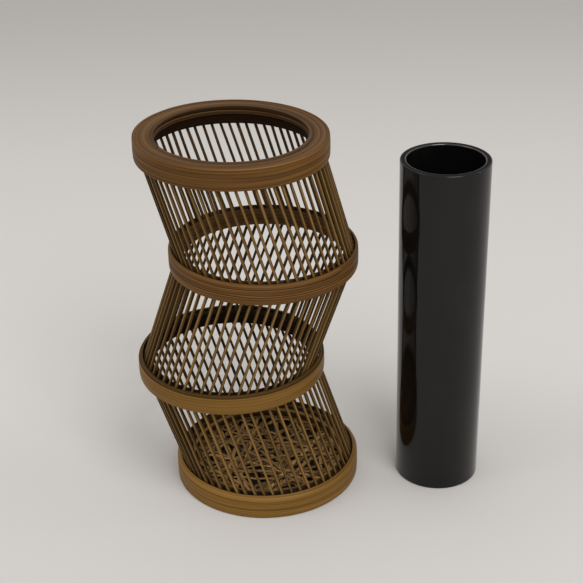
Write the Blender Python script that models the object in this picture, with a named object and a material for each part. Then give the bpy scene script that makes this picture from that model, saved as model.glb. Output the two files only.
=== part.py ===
"""Bamboo flower basket of four bent hoops joined by leaning rods, with its black water tube.

The basket stands on the ground and its tube stands beside it, towards +X.
Lengths are in metres and +Z is up.
The origin is on the ground, in the middle of the basket and the tube taken together.
"""

import math

import bmesh
import bpy
from mathutils import Matrix, Vector

# Gap between pieces that touch on the real basket
CLEARANCE = 0.0003

# Hoops, measured over the outer bands
HOOP_RADIUS = 0.0652
RIM_HEIGHT = 0.0148
UPPER_HOOP_HEIGHT = 0.0145
LOWER_HOOP_HEIGHT = 0.0130
BASE_HEIGHT = 0.0170

# Open height of each tier of rods, from the top of one hoop to the bottom of the next
LOWER_TIER_HEIGHT = 0.0682
MIDDLE_TIER_HEIGHT = 0.0680
UPPER_TIER_HEIGHT = 0.0651

# Sideways step of each hoop from the hoop below it
LOWER_TIER_STEP = -0.0229
MIDDLE_TIER_STEP = 0.0247
UPPER_TIER_STEP = -0.0185

# Bent bands of the hoops
OUTER_BAND_THICKNESS = 0.0032
INNER_BAND_THICKNESS = 0.0026
RIM_TOP_ROUNDING = 0.0010
BASE_TOP_ROUNDING = 0.0028
BAND_ROUNDING = 0.0010
UPPER_INNER_BAND_DROP = 0.0008
UPPER_INNER_BAND_RISE = 0.0023
LOWER_INNER_BAND_DROP = 0.0010
LOWER_INNER_BAND_RISE = 0.0024
BASE_INNER_BAND_DROP = 0.0006
BASE_INNER_BAND_RISE = 0.0010
RIM_INNER_BAND_RISE = 0.0004

# Rods, set in the grooves between the outer and the inner bands
LOWER_ROD_COUNT = 59
MIDDLE_ROD_COUNT = 60
UPPER_ROD_COUNT = 62
ROD_WIDTH = 0.0020
ROD_DEPTH = 0.0018
ROD_SEAT_DEPTH = 0.0032
SEAT_RING_HEIGHT = 0.0012

# Turn of the first rod of each tier away from +X, as a share of the spacing of the rods
LOWER_ROD_TURN_SHARE = 0.116
MIDDLE_ROD_TURN_SHARE = -0.117
UPPER_ROD_TURN_SHARE = 0.130

# Flat top of the rim, laid from bent strips side by side, with its width to the hoop's outside
RIM_TOP_WIDTH = 0.0148
CAP_STRIP_COUNT = 3
CAP_THICKNESS = 0.0026
LIP_WIDTH = 0.0024
LIP_HEIGHT = 0.0028

# Floor of the basket
FLOOR_HOOP_THICKNESS = 0.0030
SUPPORT_HOOP_HEIGHT = 0.0042
MAT_EDGE_WIDTH = 0.0040
MAT_THICKNESS = 0.0028
EDGE_HOOP_HEIGHT = 0.0058
STRIP_COUNT = 28
STRIP_TURN_SHARE = math.sqrt(3.0) - 1.0
STRIP_OFFSET_SHARE = 0.5698
STRIP_WIDTH = 0.0021
STRIP_THICKNESS = 0.0014
SLAT_COUNT = 3
SLAT_WIDTH = 0.0080
SLAT_THICKNESS = 0.0024
SLAT_SPACING = 0.0260

# Water tube, and its distance from the widest hoop
TUBE_HEIGHT = 0.2408
TUBE_TOP_RADIUS = 0.0301
TUBE_BOTTOM_RADIUS = 0.0291
TUBE_WALL = 0.0041
TUBE_FLOOR = 0.0060
TUBE_ROUNDING = 0.0007
TUBE_GAP = 0.0256
TUBE_SETBACK = -0.0058

# Facets of the round pieces
OUTER_BAND_SEGMENTS = 60
INNER_BAND_SEGMENTS = 48
TUBE_SEGMENTS = 60
CORNER_STEPS = 2
ROUNDING_LIMIT_SHARE = 0.9
SHARP_ANGLE = math.radians(40.0)
WELD_DISTANCE = 0.000001

# Heights of the hoops
BASE_Z = 0.0
LOWER_HOOP_Z = BASE_Z + BASE_HEIGHT + LOWER_TIER_HEIGHT
UPPER_HOOP_Z = LOWER_HOOP_Z + LOWER_HOOP_HEIGHT + MIDDLE_TIER_HEIGHT
RIM_Z = UPPER_HOOP_Z + UPPER_HOOP_HEIGHT + UPPER_TIER_HEIGHT

# Places of the hoops and the tube across the width, first from the base hoop's centre
LOWER_HOOP_STEP = LOWER_TIER_STEP
UPPER_HOOP_STEP = LOWER_HOOP_STEP + MIDDLE_TIER_STEP
RIM_STEP = UPPER_HOOP_STEP + UPPER_TIER_STEP
HOOP_STEPS = (0.0, LOWER_HOOP_STEP, UPPER_HOOP_STEP, RIM_STEP)
BASKET_LEFT = min(HOOP_STEPS) - HOOP_RADIUS
BASKET_RIGHT = max(HOOP_STEPS) + HOOP_RADIUS
TUBE_STEP = BASKET_RIGHT + TUBE_GAP + TUBE_TOP_RADIUS
BASE_X = -0.5 * (BASKET_LEFT + TUBE_STEP + TUBE_TOP_RADIUS)
LOWER_HOOP_X = BASE_X + LOWER_HOOP_STEP
UPPER_HOOP_X = BASE_X + UPPER_HOOP_STEP
RIM_X = BASE_X + RIM_STEP
TUBE_X = BASE_X + TUBE_STEP


def rod_slope(step, tier_height):
    """Return how far a tier's rods lean sideways for each metre that they rise."""
    return step / (tier_height + ROD_SEAT_DEPTH)


# Groove between the bands, wide enough for rods that lean inside it
STEEPEST_SLOPE = max(
    abs(rod_slope(LOWER_TIER_STEP, LOWER_TIER_HEIGHT)),
    abs(rod_slope(MIDDLE_TIER_STEP, MIDDLE_TIER_HEIGHT)),
    abs(rod_slope(UPPER_TIER_STEP, UPPER_TIER_HEIGHT)),
)
GROOVE_WIDTH = ROD_DEPTH + STEEPEST_SLOPE * (ROD_SEAT_DEPTH + SEAT_RING_HEIGHT) + 2 * CLEARANCE
GROOVE_OUTER_RADIUS = HOOP_RADIUS - OUTER_BAND_THICKNESS
GROOVE_INNER_RADIUS = GROOVE_OUTER_RADIUS - GROOVE_WIDTH
ROD_CIRCLE_RADIUS = 0.5 * (GROOVE_OUTER_RADIUS + GROOVE_INNER_RADIUS)
INNER_BAND_OPENING_RADIUS = GROOVE_INNER_RADIUS - INNER_BAND_THICKNESS
RIM_OPENING_RADIUS = HOOP_RADIUS - RIM_TOP_WIDTH
FLOOR_RADIUS = INNER_BAND_OPENING_RADIUS - CLEARANCE

# Surface finishes as colour, roughness and metallic value
FINISHES = {
    "rim_bamboo": ((0.150, 0.083, 0.040), 0.42, 0.0),
    "band_bamboo": ((0.190, 0.110, 0.043), 0.40, 0.0),
    "dark_bamboo": ((0.045, 0.027, 0.015), 0.60, 0.0),
    "rod_bamboo": ((0.150, 0.098, 0.045), 0.45, 0.0),
    "mat_bamboo": ((0.130, 0.082, 0.043), 0.50, 0.0),
    "black_lacquer": ((0.012, 0.012, 0.012), 0.12, 0.0),
}


def clear_scene():
    """Remove every object that the opened file holds."""
    for old in list(bpy.data.objects):
        bpy.data.objects.remove(old, do_unlink=True)


def make_material(name, finish):
    """Make a plain material with a colour, a roughness and a metallic value."""
    colour, roughness, metallic = finish
    material = bpy.data.materials.new(name)
    material.use_nodes = True
    shader = material.node_tree.nodes["Principled BSDF"]
    shader.inputs["Base Color"].default_value = (*colour, 1.0)
    shader.inputs["Roughness"].default_value = roughness
    shader.inputs["Metallic"].default_value = metallic
    return material


def make_anchor(name, x, y, z):
    """Place an empty that carries the pieces of one hoop, or the tube."""
    anchor = bpy.data.objects.new(name, None)
    anchor.location = (x, y, z)
    bpy.context.collection.objects.link(anchor)
    return anchor


def add_piece(name, bm, finish, anchor):
    """Turn a bmesh into a named piece with its material, carried by its anchor."""
    bmesh.ops.recalc_face_normals(bm, faces=bm.faces)
    mesh = bpy.data.meshes.new(name)
    bm.to_mesh(mesh)
    bm.free()
    mesh.shade_smooth()
    mesh.set_sharp_from_angle(angle=SHARP_ANGLE)
    mesh.materials.append(MATERIALS[finish])
    piece = bpy.data.objects.new(name, mesh)
    piece.parent = anchor
    bpy.context.collection.objects.link(piece)
    return piece


def rounded_corner(centre_radius, centre_height, rounding, start, end):
    """Return the points of a quarter-round corner, from the start to the end angle."""
    points = []
    for step in range(CORNER_STEPS + 1):
        angle = start + (end - start) * step / CORNER_STEPS
        across = centre_radius + rounding * math.cos(angle)
        up = centre_height + rounding * math.sin(angle)
        points.append((across, up))
    return points


def band_outline(inner, outer, bottom, top, bottom_rounding, top_rounding):
    """Return the section of a bent band: square inside, with rounded outer edges."""
    quarter = 0.5 * math.pi
    outline = [(inner, bottom)]
    if bottom_rounding > 0.0:
        outline += rounded_corner(
            outer - bottom_rounding, bottom + bottom_rounding, bottom_rounding, -quarter, 0.0
        )
    else:
        outline.append((outer, bottom))
    if top_rounding > 0.0:
        outline += rounded_corner(
            outer - top_rounding, top - top_rounding, top_rounding, 0.0, quarter
        )
    else:
        outline.append((outer, top))
    outline.append((inner, top))
    return outline


def turn_outline(outline, segments, closed):
    """Turn an outline of radii and heights round the upright axis into a solid."""
    bm = bmesh.new()
    verts = [bm.verts.new((radius, 0.0, height)) for radius, height in outline]
    edges = [bm.edges.new(pair) for pair in zip(verts, verts[1:])]
    if closed:
        edges.append(bm.edges.new((verts[-1], verts[0])))
    bmesh.ops.spin(
        bm,
        geom=verts + edges,
        cent=(0.0, 0.0, 0.0),
        axis=(0.0, 0.0, 1.0),
        angle=2.0 * math.pi,
        steps=segments,
        use_merge=True,
    )
    bmesh.ops.remove_doubles(bm, verts=bm.verts, dist=WELD_DISTANCE)
    return bm


def make_band(name, inner, outer, bottom, top, roundings, finish, anchor):
    """Make one bent band of a hoop, as a closed ring."""
    limit = ROUNDING_LIMIT_SHARE * min(outer - inner, 0.5 * (top - bottom))
    bottom_rounding, top_rounding = (min(rounding, limit) for rounding in roundings)
    outline = band_outline(inner, outer, bottom, top, bottom_rounding, top_rounding)
    segments = OUTER_BAND_SEGMENTS if top_rounding > 0.0 else INNER_BAND_SEGMENTS
    return add_piece(name, turn_outline(outline, segments, True), finish, anchor)


def make_middle_hoop(label, height, drop, rise, anchor):
    """Make the outer and the inner band of one of the two middle hoops."""
    make_band(
        f"{label}_outer_band", GROOVE_OUTER_RADIUS, HOOP_RADIUS, 0.0, height,
        (BAND_ROUNDING, BAND_ROUNDING), "band_bamboo", anchor,
    )
    make_band(
        f"{label}_inner_band", INNER_BAND_OPENING_RADIUS, GROOVE_INNER_RADIUS,
        rise, height - drop, (0.0, 0.0), "dark_bamboo", anchor,
    )


def make_rim(anchor):
    """Make the rim: outer band, inner band, the strips of its flat top and the lip under them."""
    cap_bottom = RIM_HEIGHT - CAP_THICKNESS
    under_cap = cap_bottom - CLEARANCE
    make_band(
        "rim_outer_band", GROOVE_OUTER_RADIUS, HOOP_RADIUS, 0.0, RIM_HEIGHT,
        (BAND_ROUNDING, RIM_TOP_ROUNDING), "rim_bamboo", anchor,
    )
    make_band(
        "rim_inner_band", INNER_BAND_OPENING_RADIUS, GROOVE_INNER_RADIUS,
        RIM_INNER_BAND_RISE, under_cap, (0.0, 0.0), "dark_bamboo", anchor,
    )
    cap_width = GROOVE_OUTER_RADIUS - CLEARANCE - RIM_OPENING_RADIUS
    strip_pitch = (cap_width + CLEARANCE) / CAP_STRIP_COUNT
    for index in range(CAP_STRIP_COUNT):
        inner = RIM_OPENING_RADIUS + index * strip_pitch
        outer = inner + strip_pitch - CLEARANCE
        make_band(
            f"rim_cap_strip_{index + 1}", inner, outer, cap_bottom, RIM_HEIGHT,
            (0.0, 0.0), "rim_bamboo", anchor,
        )
    make_band(
        "rim_lip_strip", RIM_OPENING_RADIUS, RIM_OPENING_RADIUS + LIP_WIDTH,
        under_cap - LIP_HEIGHT, under_cap, (0.0, 0.0), "band_bamboo", anchor,
    )


def make_rods(name, count, turn_share, step, tier_height, hoop_top, anchor):
    """Make one tier of leaning rods, joined below by the ring that spaces their feet.

    The rods stand on every second face of the ring. They are cut level at both ends,
    and halfway down their seat in either hoop they are centred in its groove.
    """
    slope = rod_slope(step, tier_height)
    ring_top = hoop_top - ROD_SEAT_DEPTH
    rise = tier_height + 2 * ROD_SEAT_DEPTH
    foot_shift = -0.5 * ROD_SEAT_DEPTH * slope
    half_angle = math.asin(0.5 * ROD_WIDTH / ROD_CIRCLE_RADIUS)
    pitch = 2.0 * math.pi / count
    first_angle = turn_share * pitch
    inner_radius = ROD_CIRCLE_RADIUS - 0.5 * ROD_DEPTH
    outer_share = (ROD_CIRCLE_RADIUS + 0.5 * ROD_DEPTH) / inner_radius

    bm = bmesh.new()
    loop = bmesh.ops.create_circle(bm, segments=2 * count, radius=inner_radius)["verts"]
    for index, vert in enumerate(loop):
        side = -1.0 if index % 2 == 0 else 1.0
        angle = first_angle + (index // 2) * pitch + side * half_angle
        vert.co = Vector((inner_radius * math.cos(angle), inner_radius * math.sin(angle), 0.0))
    widened = bmesh.ops.extrude_edge_only(bm, edges=bm.edges[:])["geom"]
    outer_verts = [item for item in widened if isinstance(item, bmesh.types.BMVert)]
    bmesh.ops.scale(bm, vec=(outer_share, outer_share, 1.0), verts=outer_verts)
    raised = bmesh.ops.extrude_face_region(bm, geom=bm.faces[:], use_keep_orig=True)["geom"]
    top_verts = [item for item in raised if isinstance(item, bmesh.types.BMVert)]
    top_faces = [item for item in raised if isinstance(item, bmesh.types.BMFace)]
    bmesh.ops.translate(bm, vec=(0.0, 0.0, SEAT_RING_HEIGHT), verts=top_verts)
    bmesh.ops.recalc_face_normals(bm, faces=bm.faces)

    def under_rod(face):
        centre = face.calc_center_median()
        turns = (math.atan2(centre.y, centre.x) - first_angle) / pitch
        return abs(turns - round(turns)) * pitch < half_angle

    rod_faces = [face for face in top_faces if under_rod(face)]
    rods = bmesh.ops.extrude_discrete_faces(bm, faces=rod_faces)["faces"]
    rod_tops = list({vert for face in rods for vert in face.verts})
    bmesh.ops.translate(bm, vec=(slope * rise, 0.0, rise), verts=rod_tops)
    bmesh.ops.translate(
        bm, vec=(foot_shift, 0.0, ring_top - SEAT_RING_HEIGHT), verts=bm.verts
    )
    return add_piece(name, bm, "rod_bamboo", anchor)


def make_base(anchor):
    """Make the two bands of the base hoop."""
    make_band(
        "base_outer_band", GROOVE_OUTER_RADIUS, HOOP_RADIUS, 0.0, BASE_HEIGHT,
        (BAND_ROUNDING, BASE_TOP_ROUNDING), "band_bamboo", anchor,
    )
    make_band(
        "base_inner_band", INNER_BAND_OPENING_RADIUS, GROOVE_INNER_RADIUS,
        BASE_INNER_BAND_RISE, BASE_HEIGHT - BASE_INNER_BAND_DROP,
        (0.0, 0.0), "band_bamboo", anchor,
    )


def make_floor_hoops(mat_bottom, mat_top, anchor):
    """Make the hoop that carries the edge of the mat and the hoop that holds it down."""
    inner = FLOOR_RADIUS - FLOOR_HOOP_THICKNESS
    support_top = mat_bottom - CLEARANCE
    edge_bottom = mat_top + CLEARANCE
    make_band(
        "floor_support_hoop", inner, FLOOR_RADIUS, BASE_INNER_BAND_RISE, support_top,
        (0.0, 0.0), "dark_bamboo", anchor,
    )
    make_band(
        "floor_edge_hoop", inner, FLOOR_RADIUS, edge_bottom, edge_bottom + EDGE_HOOP_HEIGHT,
        (0.0, 0.0), "mat_bamboo", anchor,
    )


def make_floor_slats(slat_top, anchor):
    """Make the flat slats that stiffen the floor, cut to reach the support hoop's inside."""
    hoop_inside = FLOOR_RADIUS - FLOOR_HOOP_THICKNESS
    reach = hoop_inside * math.cos(math.pi / INNER_BAND_SEGMENTS) - CLEARANCE
    for index in range(SLAT_COUNT):
        offset = (index - 0.5 * (SLAT_COUNT - 1)) * SLAT_SPACING
        far_side = abs(offset) + 0.5 * SLAT_WIDTH
        half_length = math.sqrt(reach * reach - far_side * far_side)
        bm = bmesh.new()
        bmesh.ops.create_cube(bm, size=1.0)
        bmesh.ops.scale(bm, vec=(2.0 * half_length, SLAT_WIDTH, SLAT_THICKNESS), verts=bm.verts)
        middle = Vector((0.0, offset, slat_top - 0.5 * SLAT_THICKNESS))
        bmesh.ops.translate(bm, vec=middle, verts=bm.verts)
        add_piece(f"floor_slat_{index + 1}", bm, "mat_bamboo", anchor)


def make_floor_mat(mat_bottom, anchor):
    """Make the irregular woven mat, with its strips fused where they cross.

    The strips are chords of the floor. Each turns from the last by one fixed share of a half
    turn and steps across the floor by another, so that they spread evenly in no pattern.
    """
    edge_inner = FLOOR_RADIUS - MAT_EDGE_WIDTH
    strip_end_radius = 0.5 * (edge_inner + FLOOR_RADIUS)
    reach = edge_inner - 1.5 * STRIP_WIDTH
    stagger = (MAT_THICKNESS - STRIP_THICKNESS - 2 * CLEARANCE) / STRIP_COUNT
    weave = bmesh.new()
    for index in range(STRIP_COUNT):
        angle = index * STRIP_TURN_SHARE * math.pi
        spread = 2.0 * ((index + 0.5) * STRIP_OFFSET_SHARE % 1.0) - 1.0
        offset = reach * spread
        half_length = math.sqrt(strip_end_radius ** 2 - offset ** 2)
        strip = bmesh.ops.create_cube(weave, size=1.0)["verts"]
        size = (2.0 * half_length, STRIP_WIDTH, STRIP_THICKNESS)
        bmesh.ops.scale(weave, vec=size, verts=strip)
        level = mat_bottom + CLEARANCE + 0.5 * STRIP_THICKNESS + index * stagger
        bmesh.ops.translate(weave, vec=(0.0, offset, level), verts=strip)
        turn = Matrix.Rotation(angle, 3, "Z")
        bmesh.ops.rotate(weave, cent=(0.0, 0.0, 0.0), matrix=turn, verts=strip)
    mat = add_piece("floor_mat", weave, "mat_bamboo", anchor)

    edge = make_band(
        "mat_edge_guide", edge_inner, FLOOR_RADIUS, mat_bottom, mat_bottom + MAT_THICKNESS,
        (0.0, 0.0), "mat_bamboo", anchor,
    )
    edge.hide_render = True
    edge.display_type = "WIRE"
    fuse = mat.modifiers.new("Fuse strips and edge", "BOOLEAN")
    fuse.operation = "UNION"
    fuse.solver = "EXACT"
    fuse.use_self = True
    fuse.object = edge


def make_floor(anchor):
    """Make the floor: support hoop, slats, woven mat and the hoop round the mat's edge."""
    mat_bottom = BASE_INNER_BAND_RISE + SUPPORT_HOOP_HEIGHT + CLEARANCE
    make_floor_hoops(mat_bottom, mat_bottom + MAT_THICKNESS, anchor)
    make_floor_slats(mat_bottom - CLEARANCE, anchor)
    make_floor_mat(mat_bottom, anchor)


def make_tube(anchor):
    """Make the black water tube: a slightly tapered wall, a thick floor and eased edges."""
    ease = min(TUBE_ROUNDING, 0.5 * ROUNDING_LIMIT_SHARE * TUBE_WALL)
    quarter = 0.5 * math.pi
    bore_top = TUBE_TOP_RADIUS - TUBE_WALL
    bore_bottom = TUBE_BOTTOM_RADIUS - TUBE_WALL
    outline = [(0.0, 0.0)]
    outline += rounded_corner(TUBE_BOTTOM_RADIUS - ease, ease, ease, -quarter, 0.0)
    outline += rounded_corner(TUBE_TOP_RADIUS - ease, TUBE_HEIGHT - ease, ease, 0.0, quarter)
    outline += rounded_corner(bore_top + ease, TUBE_HEIGHT - ease, ease, quarter, 2.0 * quarter)
    outline += [(bore_bottom, TUBE_FLOOR), (0.0, TUBE_FLOOR)]
    add_piece("liner_tube", turn_outline(outline, TUBE_SEGMENTS, False), "black_lacquer", anchor)


clear_scene()
MATERIALS = {name: make_material(name, finish) for name, finish in FINISHES.items()}

base_anchor = make_anchor("base", BASE_X, 0.0, BASE_Z)
lower_hoop_anchor = make_anchor("lower_hoop", LOWER_HOOP_X, 0.0, LOWER_HOOP_Z)
upper_hoop_anchor = make_anchor("upper_hoop", UPPER_HOOP_X, 0.0, UPPER_HOOP_Z)
rim_anchor = make_anchor("rim", RIM_X, 0.0, RIM_Z)
tube_anchor = make_anchor("liner", TUBE_X, TUBE_SETBACK, 0.0)

make_base(base_anchor)
make_floor(base_anchor)
make_rods(
    "lower_rods", LOWER_ROD_COUNT, LOWER_ROD_TURN_SHARE,
    LOWER_TIER_STEP, LOWER_TIER_HEIGHT, BASE_HEIGHT, base_anchor,
)
make_middle_hoop(
    "lower_hoop", LOWER_HOOP_HEIGHT, LOWER_INNER_BAND_DROP, LOWER_INNER_BAND_RISE,
    lower_hoop_anchor,
)
make_rods(
    "middle_rods", MIDDLE_ROD_COUNT, MIDDLE_ROD_TURN_SHARE,
    MIDDLE_TIER_STEP, MIDDLE_TIER_HEIGHT, LOWER_HOOP_HEIGHT, lower_hoop_anchor,
)
make_middle_hoop(
    "upper_hoop", UPPER_HOOP_HEIGHT, UPPER_INNER_BAND_DROP, UPPER_INNER_BAND_RISE,
    upper_hoop_anchor,
)
make_rods(
    "upper_rods", UPPER_ROD_COUNT, UPPER_ROD_TURN_SHARE,
    UPPER_TIER_STEP, UPPER_TIER_HEIGHT, UPPER_HOOP_HEIGHT, upper_hoop_anchor,
)
make_rim(rim_anchor)
make_tube(tube_anchor)
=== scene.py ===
"""Looks of a bamboo flower basket and of the black water tube that stands beside it.

The file is laid out as an add-on and is run as a script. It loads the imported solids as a
fixed frame and dresses them: bent bands whose ends meet in scarf joints, three tiers of
leaning rods, a random woven floor, a glossy tube and the pale studio round them.
Lengths are in metres, +Z is up and the photograph looks along +Y.
"""

import copy
import math
import random
from typing import NamedTuple

import bmesh
import bpy
from bpy.props import FloatProperty, FloatVectorProperty, IntProperty, PointerProperty
from mathutils import Matrix, Vector, noise


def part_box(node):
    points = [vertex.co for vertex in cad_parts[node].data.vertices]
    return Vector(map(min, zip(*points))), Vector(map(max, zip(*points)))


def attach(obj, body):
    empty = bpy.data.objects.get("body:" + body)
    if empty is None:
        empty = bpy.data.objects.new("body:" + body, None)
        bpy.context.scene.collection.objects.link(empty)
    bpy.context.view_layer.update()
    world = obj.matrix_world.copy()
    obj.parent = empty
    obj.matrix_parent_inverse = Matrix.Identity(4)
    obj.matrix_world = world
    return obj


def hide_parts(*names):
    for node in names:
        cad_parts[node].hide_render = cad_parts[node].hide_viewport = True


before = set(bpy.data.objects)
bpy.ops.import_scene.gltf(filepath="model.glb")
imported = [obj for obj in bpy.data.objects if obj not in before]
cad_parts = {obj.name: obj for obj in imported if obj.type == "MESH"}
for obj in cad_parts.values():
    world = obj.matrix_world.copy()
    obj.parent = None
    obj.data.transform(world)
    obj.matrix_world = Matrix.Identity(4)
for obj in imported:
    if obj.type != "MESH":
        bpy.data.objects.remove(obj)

bl_info = {
    "name": "Bamboo flower basket",
    "version": (1, 0, 0),
    "blender": (4, 5, 0),
    "location": "View3D > Sidebar > Basket",
    "description": "Dresses a bamboo flower basket and its black water tube",
    "category": "Object",
}

FULL_TURN = 2.0 * math.pi
# Places of the frame that differ by less than this are the same
TINY = 0.000001

# How far the outside of each hoop is off its even solid
HOOP_GROWTH = {"rim": -0.0007, "upper_hoop": -0.0009, "base": 0.0002}
# How a hoop lies: its slope down towards +X, its slope down towards +Y and its lift
LEVEL = (0.0, 0.0, 0.0)
HOOP_TILT = {
    "rim": (0.019, 0.006, -0.0004),
    "upper_hoop": (0.016, 0.0, 0.0),
    "lower_hoop": (0.0, -0.009, 0.0006),
}


# Round solids of the frame, which the new pieces are fitted to

class Ring:
    """Centre, radii and heights of a round solid of the frame."""

    def __init__(self, node):
        low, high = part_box(node)
        self.centre = Vector((0.5 * (low.x + high.x), 0.5 * (low.y + high.y), 0.0))
        self.bottom = low.z
        self.top = high.z
        reaches = [(vert.co - self.centre).xy.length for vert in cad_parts[node].data.vertices]
        self.inner = min(reaches)
        self.outer = max(reaches)
        self.tilt = next((tilt for hoop, tilt in HOOP_TILT.items() if node.startswith(hoop)), LEVEL)

    @property
    def width(self):
        """How wide its section is."""
        return self.outer - self.inner

    @property
    def height(self):
        """How high its section is."""
        return self.top - self.bottom

    def resized(self, **changes):
        """Return a copy of the ring with some of its radii or heights replaced."""
        other = copy.copy(self)
        for measure, value in changes.items():
            setattr(other, measure, value)
        return other

    def drop(self, place):
        """Return how far the tilted hoop lies below its even solid at that place."""
        along, across, lift = self.tilt
        return along * (place.x - self.centre.x) + across * (place.y - self.centre.y) - lift


class Tier:
    """Seat, rise and lean of one tier of rods of the frame, and where its rods stand."""

    HEAD_CORNERS = 4

    def __init__(self, node):
        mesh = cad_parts[node].data
        corners = {tuple(round(part, 6) for part in vert.co) for vert in mesh.vertices}
        verts = [Vector(corner) for corner in sorted(corners)]
        heights = sorted({round(co.z, 5) for co in verts})
        self.bottom = heights[0]
        self.foot = heights[1]
        self.head = heights[-1]
        seat, self.seat_centre = self.level(verts, self.bottom)
        heads, self.head_centre = self.level(verts, self.head)
        reaches = [(co - self.seat_centre).xy.length for co in seat]
        self.radius = 0.5 * (min(reaches) + max(reaches))
        self.rise = self.head - self.foot
        self.slope = (self.head_centre.x - self.seat_centre.x) / self.rise
        self.start = self.seat_centre - Vector((self.slope * (self.foot - self.bottom), 0.0, 0.0))
        self.count = len(heads) // self.HEAD_CORNERS
        turns = [self.count * math.atan2(*reversed((co - self.head_centre).xy)) for co in heads]
        self.first_angle = math.atan2(
            sum(math.sin(turn) for turn in turns), sum(math.cos(turn) for turn in turns)
        ) / self.count

    @staticmethod
    def level(verts, height):
        """Return the vertices that lie at one height, and their middle."""
        level = [co for co in verts if abs(co.z - height) < 10.0 * TINY]
        middle = sum(level, Vector()) / len(level)
        return level, Vector((middle.x, middle.y, 0.0))


# Settings that a user would change

def length_setting(name, description, default, least=0.0):
    """Return a setting that holds a length."""
    return FloatProperty(
        name=name, description=description, default=default, min=least, unit="LENGTH"
    )


def colour_setting(name, description, default):
    """Return a setting that holds a colour."""
    return FloatVectorProperty(
        name=name, description=description, default=default, subtype="COLOR", size=3,
        min=0.0, max=1.0,
    )


class BandSettings(bpy.types.PropertyGroup):
    """Sizes of the bent bands"""

    steps: IntProperty(
        name="Steps", description="Steps round each bent band", default=240, min=48, max=360
    )
    edge_rounding: length_setting(
        "Edge rounding", "Rounding of the outer edges of the hoops", 0.0015, 0.0001
    )
    rim_rounding: length_setting(
        "Rim rounding", "Rounding of the top edge of the rim", 0.0007, 0.0001
    )
    base_slope: length_setting(
        "Base slope", "Width of the sloping top edge of the base", 0.0027, 0.0001
    )
    line_width: length_setting(
        "Line width", "Half the width of the grooves in the outer bands", 0.00034, 0.00005
    )
    # A line edge is a row beside a groove that the tones draw lighter
    line_edge: length_setting(
        "Line edge", "Width of the worn edge along a groove", 0.00060, 0.00005
    )
    inner_rounding: length_setting(
        "Inner rounding", "Rounding of the edges that face the rods", 0.0003, 0.00005
    )
    crown: length_setting("Crown", "How far the outside of a band swells at half height", 0.00025)
    lap: length_setting("Lap", "Step that the end of a band makes at its scarf joint", 0.00030)
    lap_length: length_setting(
        "Lap length", "Length over which a scarf joint fades into the band", 0.045, 0.001
    )
    line_drift: length_setting(
        "Line drift", "How far a groove strays up and down along a band", 0.0005
    )
    end_gap: length_setting("End gap", "Gap between the two ends of a band", 0.00012, 0.00001)
    waviness: length_setting("Waviness", "Unevenness of a band that was bent by hand", 0.00012)


class RimSettings(bpy.types.PropertyGroup):
    """Sizes of the flat top of the rim"""

    seam: length_setting("Seam", "Width of the seams between the strips of the rim", 0.00005)
    easing: length_setting(
        "Easing", "Rounding of the edges of the strips of the rim", 0.00018, 0.00005
    )
    lip_rounding: length_setting(
        "Lip rounding", "Rounding of the edges of the lip", 0.00065, 0.00005
    )


class RodSettings(bpy.types.PropertyGroup):
    """Sizes of the split rods"""

    width: length_setting("Width", "Width of a rod along the hoop", 0.0020)
    depth: length_setting("Depth", "Depth of a rod across the hoop", 0.0018)
    easing: length_setting("Easing", "Rounding of the edges of a rod", 0.00042)
    spread: length_setting("Spread", "How far a rod strays from its even place", 0.00035)
    bow: length_setting("Bow", "How far a rod bows at half its length", 0.00045)
    sway: length_setting(
        "Sway", "How far rods lean more or less than the step of their hoops", 0.00085, -0.01
    )


class FloorSettings(bpy.types.PropertyGroup):
    """Sizes of the woven floor"""

    strips: IntProperty(
        name="Strips", description="Strips in the woven floor", default=58, min=12, max=200
    )
    backing: IntProperty(
        name="Backing", description="Strips in each layer under the woven ones", default=14,
        min=4, max=40,
    )
    narrowest: length_setting("Narrowest", "Width of the narrowest strip", 0.0026)
    widest: length_setting("Widest", "Width of the widest strip", 0.0042)
    thickness: length_setting("Thickness", "Thickness of a strip", 0.00055)
    wave: length_setting("Wave", "How far a strip rises and falls as it weaves", 0.00050)


class TubeSettings(bpy.types.PropertyGroup):
    """Sizes of the water tube"""

    steps: IntProperty(
        name="Steps", description="Steps round the tube", default=192, min=48, max=360
    )
    easing: length_setting("Easing", "Rounding of the edges of the tube", 0.0008)


class ColourSettings(bpy.types.PropertyGroup):
    """Colours of the bamboo, the lacquer and the floor of the studio"""

    rim: colour_setting("Rim", "Colour of the rim", (0.160, 0.074, 0.018))
    hoop: colour_setting("Hoops", "Colour of the hoops", (0.245, 0.125, 0.025))
    # The inner bands' colour is a dark stain with painted shade in it
    shaded: colour_setting(
        "Inner bands", "Colour of the stained inner bands", (0.046, 0.022, 0.0078)
    )
    rods: colour_setting("Rods", "Colour of the split rods", (0.208, 0.116, 0.035))
    mat: colour_setting("Woven floor", "Colour of the woven floor", (0.230, 0.128, 0.045))
    lacquer: colour_setting("Lacquer", "Colour of the water tube", (0.003, 0.003, 0.003))
    ground: colour_setting("Ground", "Colour of the studio floor", (0.695, 0.673, 0.653))


# Finishes

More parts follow.
